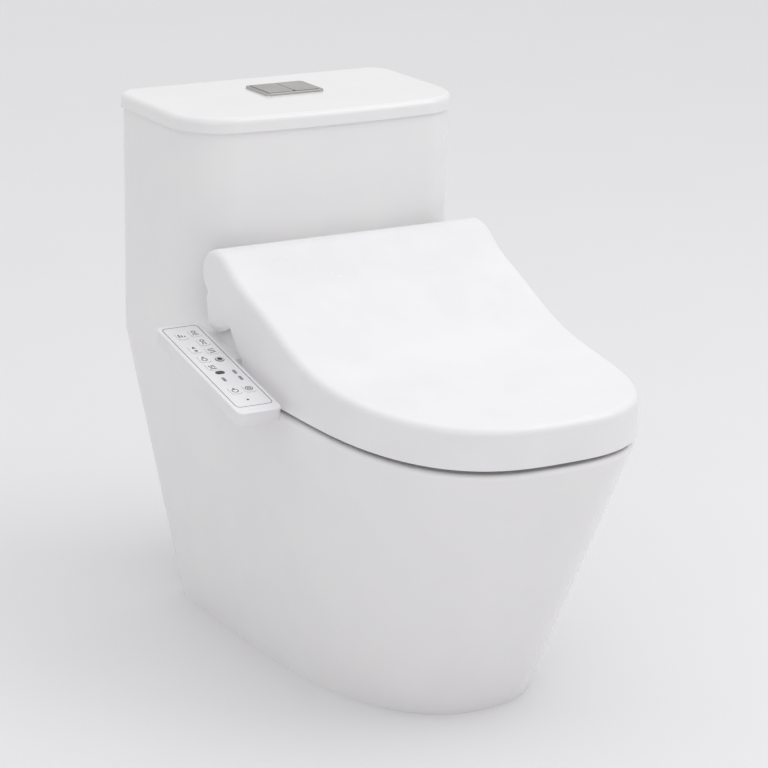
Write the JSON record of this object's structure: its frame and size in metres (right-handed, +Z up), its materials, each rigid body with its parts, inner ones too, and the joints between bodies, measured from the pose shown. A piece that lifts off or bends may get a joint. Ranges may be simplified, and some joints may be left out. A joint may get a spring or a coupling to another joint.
{
  "type": "smart toilet with heated seat",
  "caption": "Floor-standing white ceramic toilet with close-coupled tank, push-button flush, hinged heated wash seat and lid, and a side control panel with press keys.",
  "frame": {"origin": "centre of the floor waste outlet, on the floor", "axes": "+Z up; -Y towards the front of the bowl; +Y towards the wall; +X towards the sitter's left, -X towards the control panel"},
  "size_m": [0.4475, 0.7515, 0.659],
  "materials": {
    "pan_ceramic": "gloss white glaze",
    "tank_ceramic": "gloss white glaze",
    "tank_lid_ceramic": "gloss white glaze",
    "seat_plastic": "gloss white, moulded",
    "lid_plastic": "gloss white, moulded",
    "unit_plastic": "gloss white, moulded",
    "panel_plastic": "gloss white, moulded",
    "key_plastic": "satin white key caps",
    "stop_key_plastic": "dark key cap",
    "window_plastic": "black, smooth",
    "lamp_plastic": "grey lens",
    "power_lamp_plastic": "dark red lens",
    "plate_metal": "satin silver plating",
    "button_metal": "satin silver plating",
    "valve_plastic": "moulded",
    "canister_plastic": "moulded, blue",
    "float_plastic": "moulded",
    "seal_rubber": "soft",
    "pad_rubber": "soft, pale",
    "bolt_steel": "stainless",
    "pin_steel": "stainless",
    "mount_steel": "stainless sheet",
    "wand_metal": "stainless tube",
    "heater_metal": "as cast",
    "foil_metal": "foil",
    "inlet_brass": "plated, threaded",
    "board_plastic": "laminate",
    "dark_plastic": "moulded"
  },
  "bodies": {
    "base": {"pan": "pan_ceramic", "tank": "tank_ceramic", "flush_valve_base": "valve_plastic", "flush_valve_nut": "valve_plastic", "tank_gasket": "seal_rubber", "flush_actuator": "valve_plastic", "fill_valve": "valve_plastic", "fill_valve_nut": "valve_plastic", "tank_bolts": "bolt_steel", "tank_bolt_washers": "seal_rubber", "tank_bolt_nuts": "bolt_steel", "unit_tray": "unit_plastic", "unit_cover": "unit_plastic", "unit_mounting_plate": "mount_steel", "unit_bolts": "bolt_steel", "unit_bolt_washers": "seal_rubber", "unit_bolt_nuts": "valve_plastic", "wand_guide": "dark_plastic", "wand_motor": "dark_plastic", "dryer_housing": "dark_plastic", "water_heater": "heater_metal", "inlet_valve": "inlet_brass", "control_board": "board_plastic", "cord_gland": "dark_plastic", "hinge_pins": "pin_steel", "hinge_dampers": "dark_plastic", "panel_housing": "panel_plastic", "panel_cover": "panel_plastic", "panel_board": "board_plastic", "panel_window": "window_plastic", "panel_lamps": "lamp_plastic", "power_lamp": "power_lamp_plastic"},
    "tank_lid": {"tank_lid": "tank_lid_ceramic", "flush_plate": "plate_metal", "flush_plate_clamp": "valve_plastic", "flush_plate_nut": "valve_plastic"},
    "full_button": {"full_flush_button": "button_metal"},
    "half_button": {"half_flush_button": "button_metal"},
    "canister": {"flush_canister": "canister_plastic", "flush_seal": "seal_rubber"},
    "float": {"fill_float": "float_plastic"},
    "seat": {"seat_shell": "seat_plastic", "seat_base": "seat_plastic", "seat_heating_foil": "foil_metal", "seat_pads": "pad_rubber"},
    "lid": {"lid_shell": "lid_plastic", "lid_pads": "pad_rubber"},
    "wand": {"wash_wand": "wand_metal"},
    "shutter": {"wand_shutter": "unit_plastic"},
    "dryer_wheel": {"dryer_wheel": "dark_plastic"},
    "key_rear_wash": {"key_rear_wash": "key_plastic"},
    "key_front_wash": {"key_front_wash": "key_plastic"},
    "key_dry": {"key_dry": "key_plastic"},
    "key_stop": {"key_stop": "stop_key_plastic"},
    "key_massage": {"key_massage": "key_plastic"},
    "key_pressure": {"key_pressure": "key_plastic"},
    "key_position": {"key_position": "key_plastic"},
    "key_water_heat": {"key_water_heat": "key_plastic"},
    "key_seat_heat": {"key_seat_heat": "key_plastic"},
    "key_power": {"key_power": "key_plastic"}
  },
  "joints": [
    {"name": "seat_hinge", "type": "hinge", "parent": "base", "child": "seat", "pos_m": [0, 0.022, 0.474], "axis": [1, 0, 0], "range_deg": [-105, 0]},
    {"name": "lid_hinge", "type": "hinge", "parent": "seat", "child": "lid", "pos_m": [0, 0.022, 0.474], "axis": [-1, 0, 0], "range_deg": [0, 105]},
    {"name": "tank_lid_lift", "type": "slide", "parent": "base", "child": "tank_lid", "axis": [0, 0, 1], "range_m": [0, 0.12]},
    {"name": "full_flush_press", "type": "slide", "parent": "tank_lid", "child": "full_button", "axis": [0, 0, -1], "range_m": [0, 0.005], "stiffness_N_per_m": 400, "springref_m": -0.004},
    {"name": "half_flush_press", "type": "slide", "parent": "tank_lid", "child": "half_button", "axis": [0, 0, -1], "range_m": [0, 0.005], "stiffness_N_per_m": 400, "springref_m": -0.004},
    {"name": "canister_lift", "type": "slide", "parent": "base", "child": "canister", "axis": [0, 0, 1], "range_m": [0, 0.015]},
    {"name": "float_rise", "type": "slide", "parent": "base", "child": "float", "axis": [0, 0, 1], "range_m": [0, 0.06]},
    {"name": "wand_extend", "type": "slide", "parent": "base", "child": "wand", "axis": [0, -0.866, -0.5], "range_m": [0, 0.08]},
    {"name": "shutter_swing", "type": "hinge", "parent": "base", "child": "shutter", "pos_m": [0, -0.0699, 0.3875], "axis": [-1, 0, 0], "range_deg": [0, 80]},
    {"name": "dryer_spin", "type": "hinge", "parent": "base", "child": "dryer_wheel", "pos_m": [0.06, -0.008, 0.365], "axis": [0, 0, 1], "continuous": true},
    {"name": "key_rear_wash_press", "type": "slide", "parent": "base", "child": "key_rear_wash", "axis": [0, 0.2079, -0.9781], "range_m": [0, 0.0008], "stiffness_N_per_m": 800, "springref_m": -0.0005},
    {"name": "key_front_wash_press", "type": "slide", "parent": "base", "child": "key_front_wash", "axis": [0, 0.2079, -0.9781], "range_m": [0, 0.0008], "stiffness_N_per_m": 800, "springref_m": -0.0005},
    {"name": "key_dry_press", "type": "slide", "parent": "base", "child": "key_dry", "axis": [0, 0.2079, -0.9781], "range_m": [0, 0.0008], "stiffness_N_per_m": 800, "springref_m": -0.0005},
    {"name": "key_stop_press", "type": "slide", "parent": "base", "child": "key_stop", "axis": [0, 0.2079, -0.9781], "range_m": [0, 0.0008], "stiffness_N_per_m": 800, "springref_m": -0.0005},
    {"name": "key_massage_press", "type": "slide", "parent": "base", "child": "key_massage", "axis": [0, 0.2079, -0.9781], "range_m": [0, 0.0008], "stiffness_N_per_m": 800, "springref_m": -0.0005},
    {"name": "key_pressure_press", "type": "slide", "parent": "base", "child": "key_pressure", "axis": [0, 0.2079, -0.9781], "range_m": [0, 0.0008], "stiffness_N_per_m": 800, "springref_m": -0.0005},
    {"name": "key_position_press", "type": "slide", "parent": "base", "child": "key_position", "axis": [0, 0.2079, -0.9781], "range_m": [0, 0.0008], "stiffness_N_per_m": 800, "springref_m": -0.0005},
    {"name": "key_water_heat_press", "type": "slide", "parent": "base", "child": "key_water_heat", "axis": [0, 0.2079, -0.9781], "range_m": [0, 0.0008], "stiffness_N_per_m": 800, "springref_m": -0.0005},
    {"name": "key_seat_heat_press", "type": "slide", "parent": "base", "child": "key_seat_heat", "axis": [0, 0.2079, -0.9781], "range_m": [0, 0.0008], "stiffness_N_per_m": 800, "springref_m": -0.0005},
    {"name": "key_power_press", "type": "slide", "parent": "base", "child": "key_power", "axis": [0, 0.2079, -0.9781], "range_m": [0, 0.0008], "stiffness_N_per_m": 800, "springref_m": -0.0005}
  ],
  "couplings": [
    {"joint": "canister_lift", "follows": "full_flush_press", "ratio": 3},
    {"joint": "shutter_swing", "follows": "wand_extend", "rad_per_m": 17.453}
  ]
}
